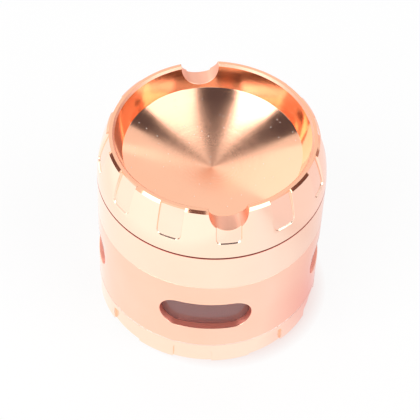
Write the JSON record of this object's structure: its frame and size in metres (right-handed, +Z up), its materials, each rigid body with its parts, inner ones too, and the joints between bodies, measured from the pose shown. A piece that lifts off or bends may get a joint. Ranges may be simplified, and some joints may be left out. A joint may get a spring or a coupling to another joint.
{
  "type": "herb grinder",
  "caption": "Round metal herb grinder: dished lid with rim notches, toothed bowl, window chamber with a screen, and a screw-on cup.",
  "frame": {"origin": "centre of the cup's flat underside, on the ground", "axes": "+Z up along the turning axis, -Y towards the front window, +X to the right as seen from the front"},
  "size_m": [0.063, 0.063, 0.0602],
  "materials": {
    "rose_metal": "polished",
    "clear_acrylic": "gloss",
    "steel_mesh": "satin",
    "nickel_magnet": "polished",
    "nylon": "satin"
  },
  "bodies": {
    "cup": {"base": "rose_metal"},
    "sleeve": {"window_sleeve": "clear_acrylic"},
    "chamber": {"chamber": "rose_metal", "screen": "steel_mesh", "screen_ring": "rose_metal"},
    "core": {"bowl_magnet": "nickel_magnet"},
    "bowl": {"bowl": "rose_metal"},
    "ring": {"friction_ring": "nylon"},
    "lid": {"lid": "rose_metal", "lid_magnet": "nickel_magnet"}
  },
  "joints": [
    {"name": "chamber_rise", "type": "slide", "parent": "cup", "child": "sleeve", "axis": [0, 0, 1], "range_m": [0, 0.003]},
    {"name": "chamber_turn", "type": "hinge", "parent": "sleeve", "child": "chamber", "pos_m": [0, 0, 0], "axis": [0, 0, 1], "range_deg": [0, 720]},
    {"name": "bowl_rise", "type": "slide", "parent": "chamber", "child": "core", "axis": [0, 0, 1], "range_m": [0, 0.003]},
    {"name": "bowl_turn", "type": "hinge", "parent": "core", "child": "bowl", "pos_m": [0, 0, 0], "axis": [0, 0, 1], "range_deg": [0, 720]},
    {"name": "lid_turn", "type": "hinge", "parent": "bowl", "child": "ring", "pos_m": [0, 0, 0], "axis": [0, 0, 1], "continuous": true},
    {"name": "lid_lift", "type": "slide", "parent": "ring", "child": "lid", "axis": [0, 0, 1], "range_m": [0, 0.025]}
  ],
  "couplings": [
    {"joint": "chamber_turn", "follows": "chamber_rise", "rad_per_m": 4188.8},
    {"joint": "bowl_turn", "follows": "bowl_rise", "rad_per_m": 4188.8}
  ]
}
